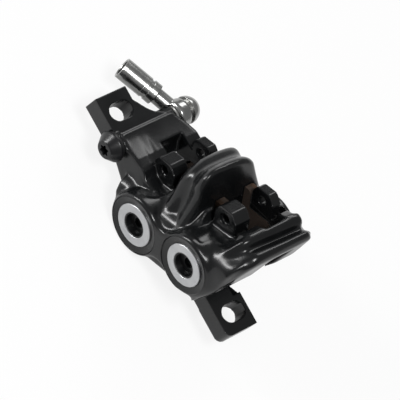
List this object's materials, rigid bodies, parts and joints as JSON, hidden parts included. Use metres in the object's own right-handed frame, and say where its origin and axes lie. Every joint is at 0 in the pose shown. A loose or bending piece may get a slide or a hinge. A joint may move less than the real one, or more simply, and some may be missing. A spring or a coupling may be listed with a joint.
{
  "type": "bicycle disc brake caliper",
  "caption": "Black forged opposed-piston bicycle disc brake caliper with slotted mounting ears, an arched bridge between two pad windows and a banjo hose fitting.",
  "frame": {"origin": "centre between the two ear slots, on the mounting plane under the ears", "axes": "+X from the rear ear to the front ear, +Y from the outboard side to the inboard side, +Z towards the mounting bolts' heads"},
  "size_m": [0.096, 0.044, 0.0455],
  "materials": {
    "caliper_black": "black hard anodised forging",
    "cap_black": "black anodised, turned",
    "ring_silver": "clear anodised, turned",
    "fitting_steel": "bright satin stainless steel",
    "screw_black": "black oxide steel",
    "washer_alloy": "soft sealing washer",
    "plate_copper": "copper-plated steel",
    "friction_brown": "moulded friction compound",
    "phenolic": "machined phenolic",
    "magnet_nickel": "nickel-plated",
    "seal_rubber": "moulded"
  },
  "bodies": {
    "caliper": {"body": "caliper_black", "bore_cap_rear": "cap_black", "bore_cap_front": "cap_black", "cap_ring_rear": "ring_silver", "cap_ring_front": "ring_silver", "cap_seal_rear": "seal_rubber", "cap_seal_front": "seal_rubber", "piston_seal_rear_outboard": "seal_rubber", "piston_seal_front_outboard": "seal_rubber", "piston_seal_rear_inboard": "seal_rubber", "piston_seal_front_inboard": "seal_rubber", "bleed_seal": "seal_rubber", "banjo_bolt": "fitting_steel", "banjo_washer_inner": "washer_alloy", "banjo_washer_outer": "washer_alloy"},
    "piston_rear_outboard": {"piston_rear_outboard": "phenolic", "magnet_rear_outboard": "magnet_nickel", "plate_rear_outboard": "plate_copper", "friction_rear_outboard": "friction_brown"},
    "piston_front_outboard": {"piston_front_outboard": "phenolic", "magnet_front_outboard": "magnet_nickel", "plate_front_outboard": "plate_copper", "friction_front_outboard": "friction_brown"},
    "piston_rear_inboard": {"piston_rear_inboard": "phenolic", "magnet_rear_inboard": "magnet_nickel", "plate_rear_inboard": "plate_copper", "friction_rear_inboard": "friction_brown"},
    "piston_front_inboard": {"piston_front_inboard": "phenolic", "magnet_front_inboard": "magnet_nickel", "plate_front_inboard": "plate_copper", "friction_front_inboard": "friction_brown"},
    "hose_fitting": {"banjo_fitting": "fitting_steel", "crimp_sleeve": "fitting_steel"},
    "bleed": {"bleed_screw": "screw_black"}
  },
  "joints": [
    {"name": "piston_rear_outboard_travel", "type": "slide", "parent": "caliper", "child": "piston_rear_outboard", "axis": [0, 1, 0], "range_m": [0, 0.0036]},
    {"name": "piston_front_outboard_travel", "type": "slide", "parent": "caliper", "child": "piston_front_outboard", "axis": [0, 1, 0], "range_m": [0, 0.0036]},
    {"name": "piston_rear_inboard_travel", "type": "slide", "parent": "caliper", "child": "piston_rear_inboard", "axis": [0, -1, 0], "range_m": [0, 0.0036]},
    {"name": "piston_front_inboard_travel", "type": "slide", "parent": "caliper", "child": "piston_front_inboard", "axis": [0, -1, 0], "range_m": [0, 0.0036]},
    {"name": "hose_swivel", "type": "hinge", "parent": "caliper", "child": "hose_fitting", "pos_m": [-0.0289, 0.02255, 0.0022], "axis": [0, 1, 0], "range_deg": [-40, 40]},
    {"name": "bleed_turn", "type": "hinge", "parent": "caliper", "child": "bleed", "pos_m": [-0.028, -0.009, 0.004], "axis": [0, 1, 0], "range_deg": [0, 360]}
  ],
  "couplings": [
    {"joint": "piston_rear_outboard_travel", "follows": "piston_front_outboard_travel", "ratio": 1},
    {"joint": "piston_rear_inboard_travel", "follows": "piston_front_outboard_travel", "ratio": 1},
    {"joint": "piston_front_inboard_travel", "follows": "piston_front_outboard_travel", "ratio": 1}
  ]
}
